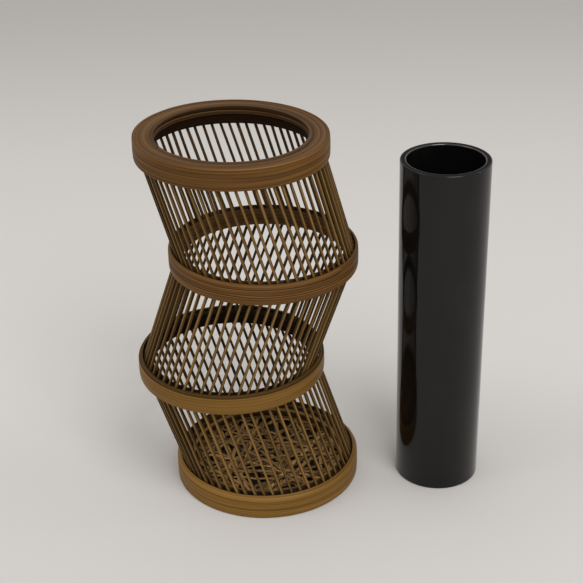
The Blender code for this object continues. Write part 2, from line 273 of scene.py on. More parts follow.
class Number:
    """A number that varies over a surface. Arithmetic on it adds Math nodes to its finish."""

    def __init__(self, finish, socket):
        self.finish = finish
        self.socket = socket

    def combined(self, operation, *terms):
        """Return the result of a Math node that works on these terms."""
        sockets = dict(enumerate(terms))
        node = self.finish.node("ShaderNodeMath", {"operation": operation}, sockets)
        return Number(self.finish, node.outputs[0])

    def __add__(self, other):
        return self.combined("ADD", self, other)

    def __radd__(self, other):
        return self.combined("ADD", other, self)

    def __sub__(self, other):
        return self.combined("SUBTRACT", self, other)

    def __rsub__(self, other):
        return self.combined("SUBTRACT", other, self)

    def __mul__(self, other):
        return self.combined("MULTIPLY", self, other)

    def __rmul__(self, other):
        return self.combined("MULTIPLY", other, self)

    def eased(self, low, high):
        """Return a number that runs smoothly from 0 at low to 1 at high."""
        sockets = {"Value": self, "From Min": low, "From Max": high}
        node = self.finish.node("ShaderNodeMapRange", {"interpolation_type": "SMOOTHSTEP"}, sockets)
        return Number(self.finish, node.outputs[0])


class Finish:
    """A material or a world, and the nodes that it is made of."""

    def __init__(self, holder):
        self.holder = holder
        holder.use_nodes = True
        self.tree = holder.node_tree
        self.tree.nodes.clear()

    def node(self, kind, settings=None, sockets=None):
        """Add a node of a kind, with its settings first and then its sockets."""
        node = self.tree.nodes.new(kind)
        for key, value in (settings or {}).items():
            setattr(node, key, value)
        for key, value in (sockets or {}).items():
            source = value.socket if isinstance(value, Number) else value
            if isinstance(source, bpy.types.NodeSocket):
                self.tree.links.new(source, node.inputs[key])
            else:
                node.inputs[key].default_value = source
        return node

    def streaks(self, place, scale, offset, detail=2.0):
        """Return a noise that is drawn out by its scale along each direction."""
        placed = self.node(
            "ShaderNodeMapping", None, {"Vector": place, "Scale": scale, "Location": offset}
        )
        sockets = {"Vector": placed.outputs[0], "Scale": 1.0, "Detail": detail, "Roughness": 0.55}
        return Number(self, self.node("ShaderNodeTexNoise", None, sockets).outputs["Fac"])

    def blended(self, share, first, second):
        """Return the colour between two colours."""
        sockets = {0: share, 6: first, 7: second}
        return self.node("ShaderNodeMix", {"data_type": "RGBA"}, sockets).outputs[2]

    def dimmed(self, colour, share):
        """Return a colour times a number."""
        sockets = {"Vector": colour, "Scale": share}
        return self.node("ShaderNodeVectorMath", {"operation": "SCALE"}, sockets).outputs[0]

    def finished(self, sockets, height, depth):
        """Give the surface its sockets and its relief, and return the material."""
        bump = self.node("ShaderNodeBump", None, {"Height": height, "Distance": depth})
        shader = self.node(
            "ShaderNodeBsdfPrincipled", None, {**sockets, "Normal": bump.outputs[0]}
        )
        self.node("ShaderNodeOutputMaterial", None, {"Surface": shader.outputs[0]})
        return self.holder


class Grain(NamedTuple):
    """How strongly the grain of a kind of bamboo shows, and how glossy it is."""

    contrast: float
    lines: float
    across: float
    roughness: float
    gloss: float
    relief: float


GRAINS = {
    "rim": Grain(0.58, 0.46, 1.1, 0.45, 0.10, 0.00010),
    "hoop": Grain(0.44, 0.45, 1.2, 0.42, 0.12, 0.00010),
    "shaded": Grain(0.70, 0.50, 1.2, 0.55, 0.06, 0.00012),
    "rods": Grain(0.55, 0.40, 1.3, 0.40, 0.05, 0.00006),
    "mat": Grain(0.50, 0.35, 1.1, 0.55, 0.10, 0.00008),
}


def bamboo_finish(name, colour, grain):
    """Make bamboo: streaks, dark grain lines and fibres that run along each strip."""
    finish = Finish(bpy.data.materials.new(name))
    along = finish.node("ShaderNodeUVMap", {"uv_map": "grain"}).outputs["UV"]
    # The tone attribute holds each face's own tone together with its painted shade and painted
    # highlight
    tone = Number(
        finish, finish.node("ShaderNodeAttribute", {"attribute_name": "tone"}).outputs["Fac"]
    )
    across = grain.across
    cloud = finish.streaks(along, (7.0, 170.0 * across, 1.0), (3.1, 1.7, 0.0))
    streak = finish.streaks(along, (5.0, 430.0 * across, 1.0), (0.4, 8.3, 0.0), 3.0)
    line = finish.streaks(along, (3.0, 800.0 * across, 1.0), (5.2, 2.9, 0.0), 1.0).eased(0.58, 0.68)
    fibre = finish.streaks(along, (30.0, 3200.0 * across, 1.0), (9.4, 6.1, 0.0), 1.0)
    speck = finish.streaks(along, (260.0, 1500.0 * across, 1.0), (2.2, 4.4, 0.0)).eased(0.66, 0.74)
    shade = 0.35 * cloud.eased(0.35, 0.65) + 0.45 * streak.eased(0.36, 0.64) + 0.20 * fibre
    dark = tuple(part * (1.0 - grain.contrast) for part in colour)
    light = tuple(part * (1.0 + 0.55 * grain.contrast) for part in colour)
    body = finish.blended(shade, (*dark, 1.0), (*light, 1.0))
    kept = tone * (1.0 - grain.lines * line) * (1.0 - 0.25 * speck)
    height = 0.45 * streak + 0.35 * fibre - 0.35 * line
    roughness = grain.roughness + 0.16 * (1.0 - shade) + 0.10 * speck
    sockets = {
        "Base Color": finish.dimmed(body, kept), "Roughness": roughness,
        "Specular IOR Level": grain.gloss,
    }
    return finish.finished(sockets, height, grain.relief)


def lacquer_finish(name, colour, gloss):
    """Make black lacquer with faint smudges, a few fine scratches and dust."""
    finish = Finish(bpy.data.materials.new(name))
    place = finish.node("ShaderNodeTexCoord").outputs["Object"]
    smudge = finish.streaks(place, (38.0, 38.0, 22.0), (1.3, 0.2, 4.1), 3.0).eased(0.52, 0.70)
    wipe = finish.streaks(place, (14.0, 14.0, 120.0), (7.3, 2.2, 0.4), 2.0)
    scratch = finish.streaks(place, (900.0, 900.0, 24.0), (0.7, 5.2, 3.3), 1.0).eased(0.74, 0.80)
    swell = finish.streaks(place, (22.0, 22.0, 9.0), (6.1, 3.4, 8.2), 1.0)
    body = finish.blended(0.35 * smudge, (*colour, 1.0), (0.010, 0.009, 0.008, 1.0))
    roughness = 0.075 + 0.07 * smudge + 0.03 * wipe + 0.10 * scratch
    sockets = {"Base Color": body, "Roughness": roughness, "Specular IOR Level": gloss}
    return finish.finished(sockets, swell - 0.02 * scratch, 0.0009)


def ground_finish(name, colour):
    """Make the matt floor of the studio, with painted shade that makes it a little darker in front
    and far behind.
    """
    finish = Finish(bpy.data.materials.new(name))
    place = finish.node("ShaderNodeTexCoord").outputs["Object"]
    cloud = finish.streaks(place, (2.0, 2.0, 2.0), (0.0, 0.0, 0.0))
    split = finish.node("ShaderNodeSeparateXYZ", None, {0: place})
    depth = Number(finish, split.outputs["Y"])
    # Where the painted shade of the floor starts behind the basket and is darkest, and the same in
    # front
    far, farthest, near, nearest = 0.45, 1.30, 0.16, -0.03
    share = depth.eased(far, farthest) + 0.45 * (1.0 - depth.eased(nearest, near)) + 0.02 * cloud
    darker = tuple(0.80 * part for part in colour)
    body = finish.blended(share, (*colour, 1.0), (*darker, 1.0))
    return finish.finished({"Base Color": body, "Roughness": 0.9}, cloud, 0.0001)


LACQUER_GLOSS = {"glossy": 0.32, "matt": 0.02, "bright": 0.95}


def finish_of(name, sheen="glossy"):
    """Return the material of that name, made from the colour settings on its first use."""
    label = f"{name}_finish" if sheen == "glossy" else f"{name}_{sheen}_finish"
    material = bpy.data.materials.get(label)
    if material is not None:
        return material
    colours = bpy.context.scene.basket_colours
    colour = tuple(getattr(colours, name))
    if name == "lacquer":
        return lacquer_finish(label, colour, LACQUER_GLOSS[sheen])
    if name == "ground":
        return ground_finish(label, colour)
    return bamboo_finish(label, colour, GRAINS[name])


# Building blocks

# A fold sharper than this stays sharp in the shading
SHARP_FOLD = math.radians(38.0)
# A rounding larger than this has the full number of segments
FINE_ROUNDING = 0.0006


def new_strips():
    """Start a mesh whose faces carry a tone, with painted shade and highlight in it, and whose
    corners carry the grain's course.
    """
    bm = bmesh.new()
    grain = bm.loops.layers.uv.new("grain")
    tone = bm.faces.layers.float.new("tone")
    return bm, grain, tone


def add_piece(name, bm, finish, body, replaced=()):
    """Turn a bmesh into a piece that rides on a body and stands for some solids."""
    bmesh.ops.recalc_face_normals(bm, faces=bm.faces)
    mesh = bpy.data.meshes.new(name)
    bm.to_mesh(mesh)
    bm.free()
    mesh.shade_smooth()
    mesh.set_sharp_from_angle(angle=SHARP_FOLD)
    mesh.materials.append(finish_of(finish))
    piece = bpy.data.objects.new(name, mesh)
    bpy.context.scene.collection.objects.link(piece)
    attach(piece, body)
    if replaced:
        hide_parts(*replaced)
    return piece


def bevelled(bm, geom, offset, segments, affect="EDGES"):
    """Bevel edges or corners, and return the new vertices."""
    return bmesh.ops.bevel(
        bm, geom=geom, offset=offset, offset_type="OFFSET", affect=affect,
        segments=segments, profile=0.5, material=-1,
    )["verts"]


def lay_grain(bm, grain, course):
    """Give every corner its place in the grain, from a function of its place in space."""
    for face in bm.faces:
        for loop in face.loops:
            loop[grain].uv = course(loop.vert.co)


def long_edges(bm, axis):
    """Return the edges that run from end to end of a pattern one metre long."""
    return [edge for edge in bm.edges if abs(edge.verts[0].co[axis] - edge.verts[1].co[axis]) > 0.5]


def directions(angle):
    """Return the directions across a hoop and along it, at an angle round it."""
    across = Vector((math.cos(angle), math.sin(angle), 0.0))
    return across, Vector((-across.y, across.x, 0.0))


def grain_shift(chance):
    """Return a random shift, so that no two strips have the same course of grain."""
    return chance.uniform(0.0, 40.0), chance.uniform(0.0, 40.0)


def strip_section(bm, ring, outer_roundings, inner_rounding, arc):
    """Draw the section of a bent strip, standing on the X axis, with its corners rounded."""
    middle = Vector((ring.inner + 0.5 * ring.width, 0.0, ring.bottom + 0.5 * ring.height))
    upright = Matrix.Rotation(0.25 * FULL_TURN, 4, "X")
    size = Matrix.Diagonal((ring.width, ring.height, 1.0, 1.0))
    placed = Matrix.Translation(middle) @ upright @ size
    grid = bmesh.ops.create_grid(bm, x_segments=1, y_segments=1, size=0.5, matrix=placed)
    roundings = []
    for vert in grid["verts"]:
        outside, upper = vert.co.x > middle.x, vert.co.z > middle.z
        roundings.append(outer_roundings[upper] if outside else inner_rounding)
    for vert, rounding in zip(grid["verts"], roundings):
        bevelled(bm, [vert], rounding, arc if rounding > FINE_ROUNDING else 2, "VERTICES")


def divide_outside(bm, ring, heights):
    """Put a vertex at each of these heights on the straight outside of a section."""
    outside = max(
        (edge for edge in bm.edges if min(vert.co.x for vert in edge.verts) > ring.outer - TINY),
        key=lambda edge: edge.calc_length(),
    )
    low, high = sorted(vert.co.z for vert in outside.verts)
    bmesh.ops.subdivide_edges(bm, edges=[outside], cuts=len(heights))
    added = [
        vert for vert in bm.verts
        if vert.co.x > ring.outer - TINY and low + TINY < vert.co.z < high - TINY
    ]
    added.sort(key=lambda vert: vert.co.z)
    for vert, height in zip(added, sorted(heights), strict=True):
        vert.co.z = height


class Bend(NamedTuple):
    """One bent strip: where its ends meet, which way they lap and how it is coloured.

    A line is a groove in the outside, as its height share, the side of its lighter edge and its
    strength. The other tones are the painted shade of the inside, the tone of the flat top and the
    painted highlight of rounded edges.
    """

    joint: float
    lap: str
    tone: float
    seed: float
    lines: tuple = ()
    inside: float = 1.0
    upper: float = 1.0
    edge_painted_highlight: float = 1.0
    arc: int = 5


# Even rows of a band's outside, as shares of its height
ROW_SHARES = (0.2, 0.35, 0.5, 0.65, 0.8)
# Size of the circle of noise that a band's waves are read from
WAVE_CIRCLE = 2.2
# Share of the waviness by which a band is held back, so that its waves stay in the solid
HELD_SHARE = 0.6


def line_heights(ring, bend, bands):
    """Return the heights of the rows that a band's outside is divided into."""
    wide = bands.line_width
    cuts = []
    for share, side, _ in bend.lines:
        level = ring.bottom + share * ring.height
        cuts += [level - wide, level, level + wide, level + side * (wide + bands.line_edge)]
    evenly = [ring.bottom + ring.height * share for share in ROW_SHARES]
    return cuts + [level for level in evenly if all(abs(level - cut) > 2.0 * wide for cut in cuts)]


def tone_and_painted_light_of(face, ring, bend, bands):
    """Return the tone of a face, with painted shade and highlight from the side that it faces, and
    from the lines near it.
    """
    middle = face.calc_center_median()
    outward = face.normal.xy.dot(middle.xy.normalized())
    upward = face.normal.z
    # Rounded inner edges of an inner band are painted lighter, as painted highlight, more on their
    # lower side
    if bend.lap == "in" and abs(upward) > 0.3 and outward < -0.3:
        return bend.tone * bend.edge_painted_highlight ** (1 if upward > 0.0 else 2)
    # Faces that face inwards are painted darker, as painted shade
    if outward < -0.5:
        return bend.tone * bend.inside
    if bend.lap == "in":
        return bend.tone
    if upward > 0.92:
        return bend.tone * bend.upper
    # The rounded top edge is painted lighter, as painted highlight
    if upward > 0.25:
        return bend.tone * bend.edge_painted_highlight
    # A groove is drawn darker, and a row beside it lighter
    for share, side, strength in bend.lines:
        above = middle.z - ring.bottom - share * ring.height
        if abs(above) < bands.line_width:
            return bend.tone * (1.0 - strength)
        if bands.line_width < side * above < bands.line_width + bands.line_edge:
            return bend.tone * (1.0 + 0.6 * strength)
    return bend.tone


def bent_by_hand(vert, angle, ring, bend, bands):
    """Thin a strip towards its lapped end, make it uneven and cut its grooves, at one vertex.

    The vertex is moved up or down, and its new distance from the axis is returned.
    """
    reach = vert.co.xy.length
    out_share = (reach - ring.inner) / ring.width
    up_share = (vert.co.z - ring.bottom) / ring.height
    fade = min(1.0, angle * ring.outer / bands.lap_length)
    sunk = bands.lap * (1.0 - fade * fade * (3.0 - 2.0 * fade))
    around = WAVE_CIRCLE * directions(angle)[0] + Vector((0.0, 0.0, bend.seed))
    wave = bands.waviness * (HELD_SHARE - noise.noise(around))
    if bend.lap == "in":
        vert.co.z -= up_share * wave
        return reach + (1.0 - out_share) * (sunk + 2.0 * HELD_SHARE * bands.waviness - wave)
    if bend.lap == "up":
        vert.co.z -= up_share * (0.6 * sunk + wave)
        return reach
    reach -= out_share * (sunk + bands.crown * (2.0 * up_share - 1.0) ** 2 + wave)
    for index, (share, _, strength) in enumerate(bend.lines):
        above = (up_share - share) * ring.height
        if out_share > 0.99 and abs(above) < bands.line_width + 1.1 * bands.line_edge:
            drift = noise.noise(around + Vector((0.0, 0.0, 3.0 + index)))
            if abs(above) < 0.2 * bands.line_width:
                reach -= bands.line_width * strength * (1.0 + 0.6 * drift)
            vert.co.z += bands.line_drift * drift
    return reach


def bent_strip(name, ring, roundings, inner_rounding, bend, finish, replaced=()):
    """Bend a strip into a hoop, with a scarf joint where its two ends meet."""
    bands = bpy.context.scene.basket_bands
    bm, grain, tone = new_strips()
    strip_section(bm, ring, roundings, inner_rounding, bend.arc)
    if bend.lap == "out":
        divide_outside(bm, ring, line_heights(ring, bend, bands))
    bmesh.ops.delete(bm, geom=bm.faces[:], context="FACES_ONLY")
    gap = bands.end_gap / ring.outer
    bmesh.ops.spin(
        bm, geom=bm.verts[:] + bm.edges[:], cent=(0.0, 0.0, 0.0), axis=(0.0, 0.0, 1.0),
        angle=FULL_TURN - gap, steps=bands.steps,
    )
    ends = [edge for edge in bm.edges if edge.is_boundary]
    seam = bmesh.ops.bridge_loops(bm, edges=ends)["faces"]
    bmesh.ops.recalc_face_normals(bm, faces=bm.faces)

    def turn(place):
        return (math.atan2(place.y, place.x) + 0.5 * gap) % FULL_TURN

    for face in bm.faces:
        face[tone] = tone_and_painted_light_of(face, ring, bend, bands)
    for face in seam:
        face[tone] = 0.30 * bend.tone
    lay_grain(bm, grain, lambda place: (
        turn(place) * ring.outer + 1.7 * bend.seed, place.z - place.xy.length + 0.3 * bend.seed,
    ))
    middle = ring.bottom + 0.5 * ring.height
    for vert in bm.verts:
        angle = turn(vert.co)
        reach = bent_by_hand(vert, angle, ring, bend, bands)
        skew = 0.9 * (reach - ring.inner) if bend.lap == "up" else 0.45 * (vert.co.z - middle)
        turned = angle - 0.5 * gap + bend.joint + skew / ring.outer
        vert.co.xy = reach * math.cos(turned), reach * math.sin(turned)
    bmesh.ops.translate(bm, vec=ring.centre, verts=bm.verts)
    for vert in bm.verts:
        vert.co.z -= ring.drop(vert.co)
    return add_piece(name, bm, finish, "basket", replaced)


# Tones of a rod's outside, of its two sides and of its inside: painted light, lighter outside and
# darker on the sides and inside as painted shade
ROD_PAINTED_LIGHT_TONES = (1.10, 0.52, 0.34)


def pattern_rod(bm, grain, tone, depth, width, easing, cuts, length):
    """Make the rod that the others are copied from: upright, one metre tall, with eased edges."""
    verts = bmesh.ops.create_cube(bm, size=1.0)["verts"]
    bmesh.ops.translate(bm, vec=(0.0, 0.0, 0.5), verts=verts)
    bmesh.ops.scale(bm, vec=(depth, width, 1.0), verts=verts)
    bevelled(bm, long_edges(bm, 2), easing, 1)
    if cuts:
        bmesh.ops.subdivide_edges(bm, edges=long_edges(bm, 2), cuts=cuts)
    bmesh.ops.recalc_face_normals(bm, faces=bm.faces)
    # Painted light: the outside lighter, the sides and inside in painted shade; the blocks copied
    # from this pattern take it too
    outside, aside, inside = ROD_PAINTED_LIGHT_TONES
    for face in bm.faces:
        facing = face.normal.x
        face[tone] = outside if facing > 0.9 else aside if facing > -0.1 else inside
    lay_grain(bm, grain, lambda place: (place.z * length, place.x + place.y))
    return bm.verts[:] + bm.edges[:] + bm.faces[:]


def copied(bm, pattern, grain, tone, placed, shade, shift):
    """Copy a pattern to its place, with a tone factor and a course of grain of its own. The factor
    is a random tone for rods and blocks, and carries painted shade for the strips of the floor.
    """
    made = bmesh.ops.duplicate(bm, geom=pattern)["geom"]
    verts = [item for item in made if isinstance(item, bmesh.types.BMVert)]
    bmesh.ops.transform(bm, matrix=placed, verts=verts)
    for face in (item for item in made if isinstance(item, bmesh.types.BMFace)):
        face[tone] *= shade
        for loop in face.loops:
            loop[grain].uv += Vector(shift)
    return verts


def leaning(angle, seat, lean):
    """Return the placing of an upright pattern: across the hoop, along it, and up its lean."""
    across, along = directions(angle)
    return Matrix.Translation(seat) @ Matrix((across, along, lean)).transposed().to_4x4()


# Operators, one for each piece or group of like pieces

class BASKET_OT_outer_bands(bpy.types.Operator):
    """Bend the outer band of the rim, of both middle hoops and of the base"""

    bl_idname = "basket.outer_bands"
    bl_label = "Outer bands"

    def execute(self, context):
        bands = context.scene.basket_bands
        edge = bands.edge_rounding
        rim_lines = ((0.78, -1, 0.30), (0.60, -1, 0.22))
        upper_lines = ((0.773, -1, 0.78), (0.515, -1, 0.62), (0.397, -1, 0.70))
        base_lines = ((0.774, 1, 0.45),)
        # After the lines, each Bend gives the painted shade of the band's inside, the tone of its
        # flat top and the painted highlight of its rounded edges
        table = {
            "rim": (
                Bend(2.30, "out", 0.91, 1.0, rim_lines, 0.3, 1.0, 1.35), (edge, bands.rim_rounding),
            ),
            "upper_hoop": (Bend(5.60, "out", 0.93, 2.0, upper_lines, 0.2, 0.8, 1.0), (edge, edge)),
            "base": (
                Bend(0.60, "out", 0.91, 4.0, base_lines, 0.2, 1.0, 1.0, 1),
                (0.5 * edge, bands.base_slope),
            ),
        }
        for label, (bend, roundings) in table.items():
            node = f"{label}_outer_band"
            finish = "hoop" if label == "base" else "rim"
            ring = Ring(node)
            ring = ring.resized(outer=ring.outer + HOOP_GROWTH[label])
            bent_strip(
                f"{label}_bent_band", ring, roundings, bands.inner_rounding, bend,
                finish, [node],
            )
        self.bend_lower(bands, edge)
        return {"FINISHED"}

    @staticmethod
    def bend_lower(bands, edge):
        """Bend the lower middle hoop: a golden strip, and a dark one that stands over it behind."""
        ring = Ring("lower_hoop_outer_band")
        # Thickness of the golden strip, the glue behind it and how far its top edge is lowered
        facing, glue, lowered = 0.0010, 0.0001, 0.0011
        # How far the dark strip ends above the foot of the solid and stands over its top
        kept_up, proud = 0.0008, 0.0004
        low_rounding, high_rounding = 0.0004, 0.0005
        parting = ring.outer - facing
        golden = ring.resized(inner=parting + glue, top=ring.top - lowered)
        # The golden strip's inside is painted dark, as painted shade
        bent_strip(
            "lower_hoop_bent_band", golden, (0.6 * edge, 0.3 * edge), bands.inner_rounding,
            Bend(1.90, "out", 0.83, 3.0, (), 0.3, 0.6), "hoop",
            ["lower_hoop_outer_band"],
        )
        lining = ring.resized(outer=parting, bottom=ring.bottom + kept_up, top=ring.top + proud)
        # The dark strip's inside is painted darker, as painted shade, and its rounded edges
        # lighter, as painted highlight
        bent_strip(
            "lower_hoop_bent_backing", lining, (low_rounding, high_rounding), bands.inner_rounding,
            Bend(1.40, "out", 0.30, 17.0, (), 0.2, 0.9, 1.7), "hoop",
        )


class BASKET_OT_inner_bands(bpy.types.Operator):
    """Bend the inner band of each hoop, dark with stain and painted shade"""

    bl_idname = "basket.inner_bands"
    bl_label = "Inner bands"

    def execute(self, context):
        rounding = context.scene.basket_bands.inner_rounding
        # The tones set how much painted shade each inner band has, most in the base and least in
        # the upper hoop
        table = {
            "rim": (Bend(1.10, "in", 0.50, 5.0), "shaded"),
            "upper_hoop": (Bend(4.10, "in", 1.80, 6.0), "shaded"),
            "lower_hoop": (Bend(2.60, "in", 0.30, 7.0), "shaded"),
            "base": (Bend(5.20, "in", 0.16, 8.0), "hoop"),
        }
        for label, (bend, finish) in table.items():
            node = f"{label}_inner_band"
            bent_strip(
                f"{label}_bent_lining", Ring(node), (rounding, rounding), rounding, bend,
                finish, [node],
            )
        return {"FINISHED"}


class BASKET_OT_rim_top(bpy.types.Operator):
    """Lay the bent strips of the flat rim and the lip strip under them"""

    bl_idname = "basket.rim_top"
    bl_label = "Rim top"

    def execute(self, context):
        rim = context.scene.basket_rim
        strips = [Ring(f"rim_cap_strip_{number}") for number in (1, 2, 3)]
        outside = Ring("rim_outer_band").inner
        reaches = [strip.inner for strip in strips[1:]] + [outside]
        joints = (3.62, 5.62, 1.20)
        tones = (0.56, 0.71, 0.67)
        step_down = 0.00004
        for number, (ring, reach, joint, tone) in enumerate(zip(strips, reaches, joints, tones), 1):
            strip = ring.resized(outer=reach - rim.seam, top=ring.top - step_down * number)
            # The inner face of each strip is painted dark, as painted shade
            bent_strip(
                f"rim_top_strip_{number}", strip, (rim.easing, rim.easing), 1.6 * rim.easing,
                Bend(joint, "up", tone, 8.0 + number, inside=0.40),
                "rim", [f"rim_cap_strip_{number}"],
            )
        # The lip is painted dark, as painted shade under the rim, and its rounded edges lighter, as
        # painted highlight, most on the lower side
        lip = Ring("rim_lip_strip")
        bent_strip(
            "rim_lip", lip, (rim.easing, rim.easing), rim.lip_rounding,
            Bend(0.90, "in", 0.28, 13.0, edge_painted_highlight=2.5), "rim", ["rim_lip_strip"],
        )
        return {"FINISHED"}


class BASKET_OT_rods(bpy.types.Operator):
    """Set three tiers of leaning rods, and the blocks between their feet"""

    bl_idname = "basket.rods"
    bl_label = "Rods"

    def execute(self, context):
        rods = context.scene.basket_rods
        chance = random.Random(11)
        table = {
            "lower": ("base", "lower_hoop", 1.0),
            "middle": ("lower_hoop", "upper_hoop", 0.0),
            "upper": ("upper_hoop", "rim", -0.9),
        }
        for label, (foot, head, sway) in table.items():
            tier = Tier(f"{label}_rods")
            inner = Ring(f"{foot}_inner_band")
            outer = Ring(f"{foot}_outer_band")
            above = Ring(f"{head}_inner_band")
            self.set_rods(label, tier, inner, above, rods, sway * rods.sway, chance)
            self.set_blocks(f"{label}_blocks", tier, inner, outer, rods, chance)
        return {"FINISHED"}

    @staticmethod
    def set_rods(label, tier, below, above, rods, sway, chance):
        """Copy one pattern rod round a tier, each copy a little out of line."""
        bm, grain, tone = new_strips()
        length = tier.head - tier.bottom
        pattern = pattern_rod(bm, grain, tone, rods.depth, rods.width, rods.easing, 4, length)
        for index in range(tier.count):
            angle = tier.first_angle + FULL_TURN * index / tier.count
            stray = rods.spread * chance.uniform(-1.0, 1.0) + sway * math.sin(angle)
            across, along = directions(angle)
            seat = tier.start + tier.radius * across + stray * along
            seat.z = tier.bottom - below.drop(seat)
            drift = rods.spread * chance.uniform(-1.0, 1.0) - sway * math.sin(angle)
            lean = Vector((tier.slope * length, 0.0, length)) + (drift - stray) * along
            lean.z += below.drop(seat) - above.drop(seat + lean)
            girth = chance.uniform(0.88, 1.10)
            placed = leaning(angle, seat, lean) @ Matrix.Diagonal((1.0, girth, 1.0, 1.0))
            shade = chance.uniform(0.66, 1.26)
            verts = copied(bm, pattern, grain, tone, placed, shade, grain_shift(chance))
            bow = rods.bow * chance.uniform(-1.0, 1.0)
            for vert in verts:
                share = (vert.co.z - tier.bottom) / length
                vert.co += 4.0 * share * (1.0 - share) * bow * along
        bmesh.ops.delete(bm, geom=pattern, context="VERTS")
        add_piece(f"{label}_tier", bm, "rods", "basket", [f"{label}_rods"])

    @staticmethod
    def set_blocks(name, tier, inner, outer, rods, chance):
        """Fill the groove between the rods' feet with small blocks, dark with stain and painted
        shade.
        """
        bm, grain, tone = new_strips()
        # Room beside a rod, depth of a block's top in the groove and rounding of its edges
        gaps, sunk, easing = 0.0004, 0.0006, 0.0003
        # How far the top of a block may lie under the others, or over them
        lower, higher = -0.0004, 0.0003
        depth = 0.80 * (outer.inner - inner.outer)
        pitch = FULL_TURN / tier.count
        width = pitch * tier.radius - rods.width - gaps
        height = inner.top - tier.bottom - sunk
        pattern = pattern_rod(bm, grain, tone, depth, width, easing, 0, height)
        for index in range(tier.count):
            angle = tier.first_angle + (index + 0.5) * pitch
            seat = tier.start + tier.radius * directions(angle)[0]
            seat.z = tier.bottom - inner.drop(seat)
            rise = height + chance.uniform(lower, higher)
            placed = leaning(angle, seat, Vector((tier.slope * rise, 0.0, rise)))
            shift = grain_shift(chance)
            copied(bm, pattern, grain, tone, placed, chance.uniform(0.7, 1.5), shift)
        bmesh.ops.delete(bm, geom=pattern, context="VERTS")
        add_piece(name, bm, "shaded", "basket")


